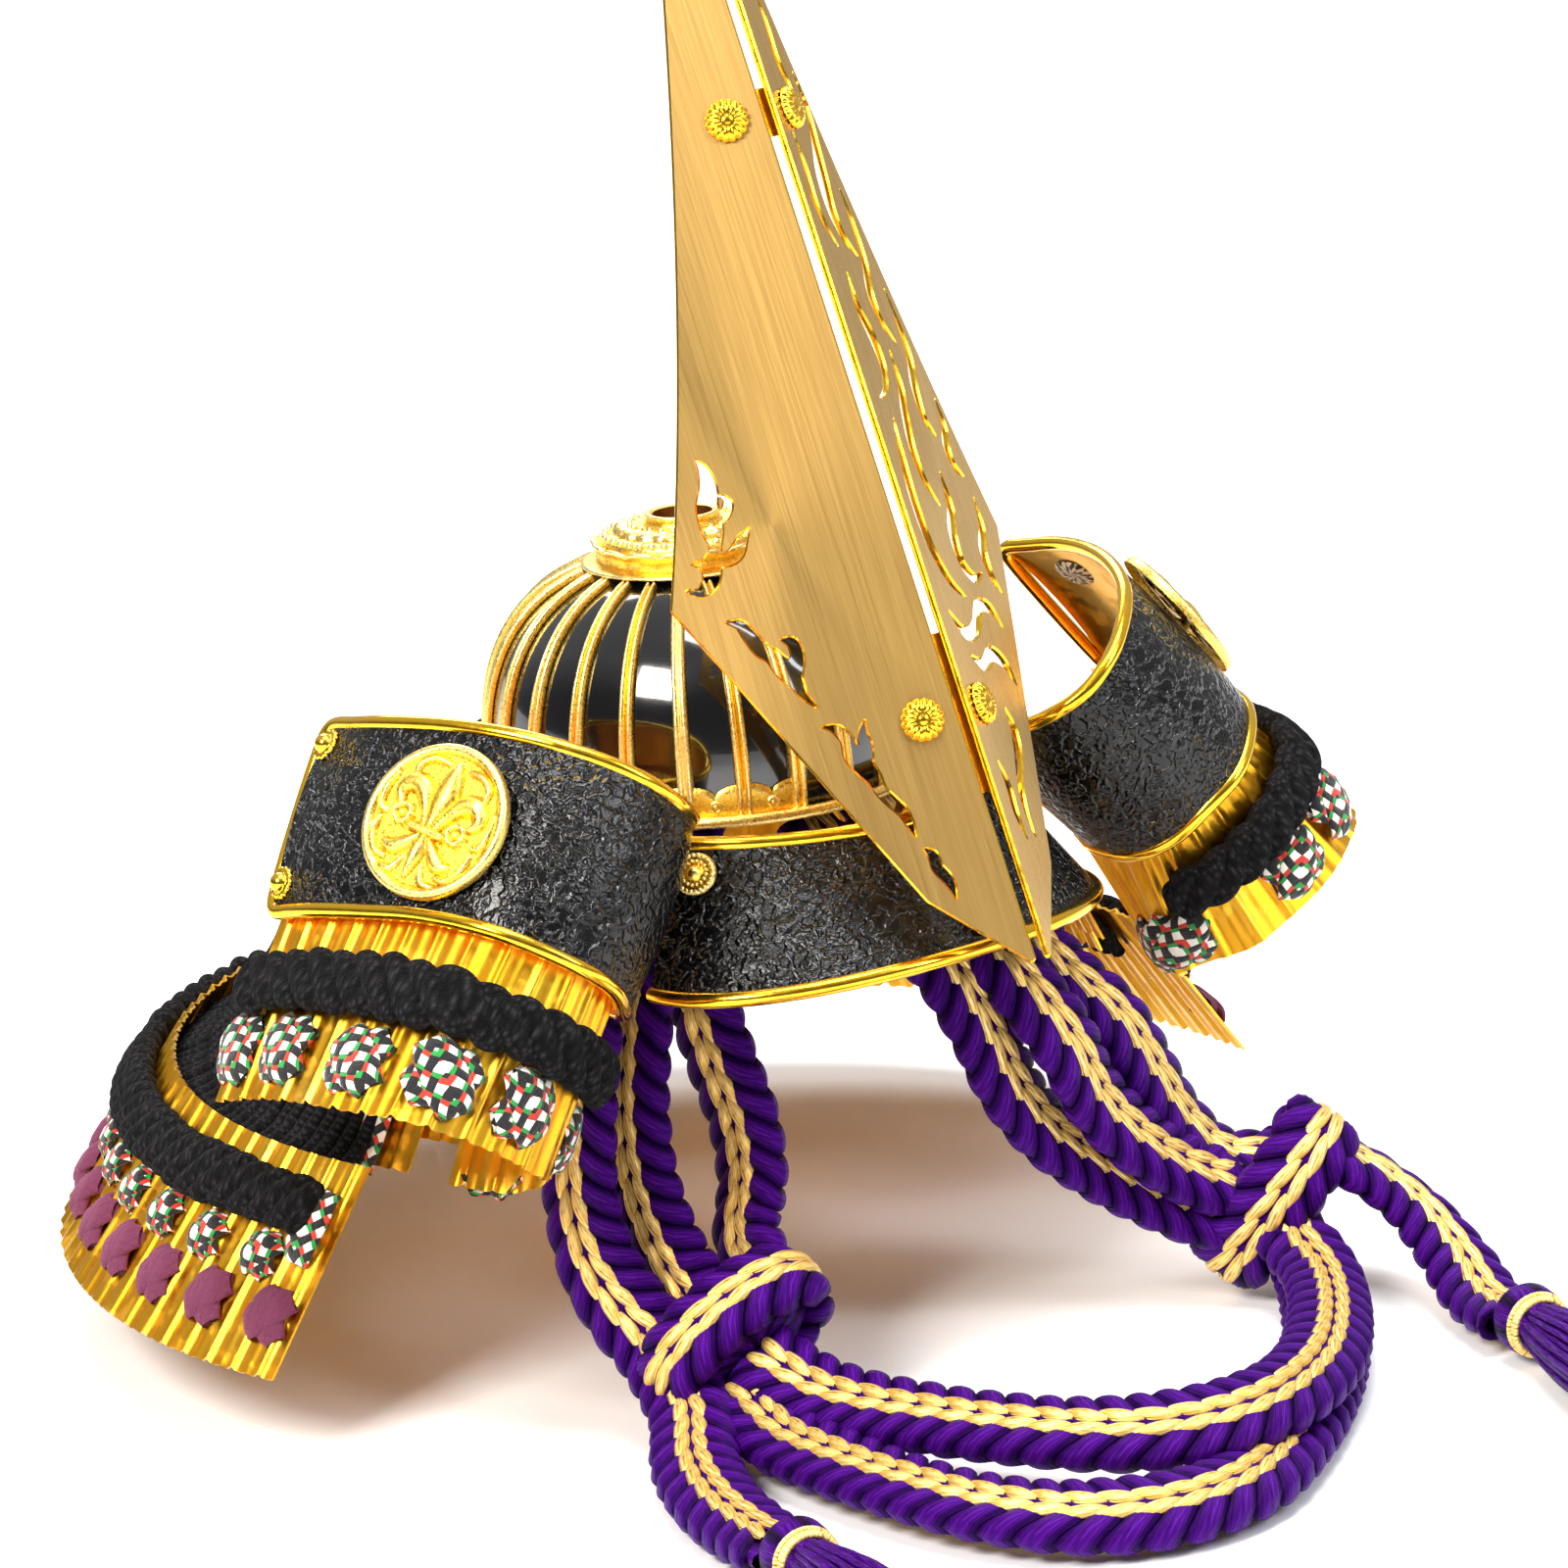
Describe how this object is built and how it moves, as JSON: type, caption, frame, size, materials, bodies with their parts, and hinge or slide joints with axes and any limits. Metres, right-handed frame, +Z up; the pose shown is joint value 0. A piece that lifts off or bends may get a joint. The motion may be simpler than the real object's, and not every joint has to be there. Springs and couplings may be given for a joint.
{
  "type": "kabuto samurai helmet",
  "caption": "Ornamental kabuto: ribbed bowl, visor with turned-back wings, flared lamed neck guard, pierced two-bladed crest and braided chin cord.",
  "frame": {"origin": "centre of the open underside of the bowl, where the helmet sits on a head or head form", "axes": "+Z up; the visor and crest face -Y; the helmet's own left side is +X"},
  "size_m": [0.2294, 0.306, 0.2747],
  "materials": {
    "gold": "polished gold plating",
    "satin_gold": "brushed satin gold plating",
    "black_enamel": "high gloss black enamel",
    "black_leather": "black crackle grain, glossy",
    "black_cord": "matte black knitted rope",
    "purple_cord": "purple flat braid with a gold chain"
  },
  "bodies": {
    "root": {"bowl_shell": "black_enamel", "rib_cage": "gold", "crown_ornament": "gold", "visor_plate": "black_leather", "visor_top_band": "gold", "visor_rim": "gold", "visor_rosette_left": "gold", "visor_rosette_right": "gold", "wing_panel_left": "black_leather", "wing_panel_right": "black_leather", "wing_rim_left": "gold", "wing_rim_right": "gold", "wing_medallion_left": "gold", "wing_medallion_right": "gold", "wing_rivet_upper_left": "gold", "wing_rivet_upper_right": "gold", "wing_rivet_lower_left": "gold", "wing_rivet_lower_right": "gold", "lame_2_wing_left": "gold", "lame_2_wing_right": "gold", "lame_1": "gold", "lame_2": "gold", "lame_3": "gold", "lame_4": "gold", "rope_band_2_wing_left": "black_cord", "rope_band_2_wing_right": "black_cord", "rope_band_1": "black_cord", "rope_band_2": "black_cord", "rope_band_4": "black_cord", "crest_blade_left": "satin_gold", "crest_blade_right": "satin_gold", "crest_rivet_lower_left": "gold", "crest_rivet_lower_right": "gold", "crest_rivet_upper_left": "gold", "crest_rivet_upper_right": "gold", "crest_bracket": "gold", "crest_spacer": "gold", "chin_knot_left": "purple_cord", "chin_knot_right": "purple_cord", "chin_cord_front_upper": "purple_cord", "chin_cord_front_lower": "purple_cord", "chin_cord_left_outer": "purple_cord", "chin_cord_left_middle": "purple_cord", "chin_cord_left_inner": "purple_cord", "chin_cord_left_tail": "purple_cord", "chin_cord_right_outer": "purple_cord", "chin_cord_right_middle": "purple_cord", "chin_cord_right_inner": "purple_cord", "chin_cord_right_tail": "purple_cord", "tassel_left": "purple_cord", "tassel_right": "purple_cord"}
  },
  "joints": []
}
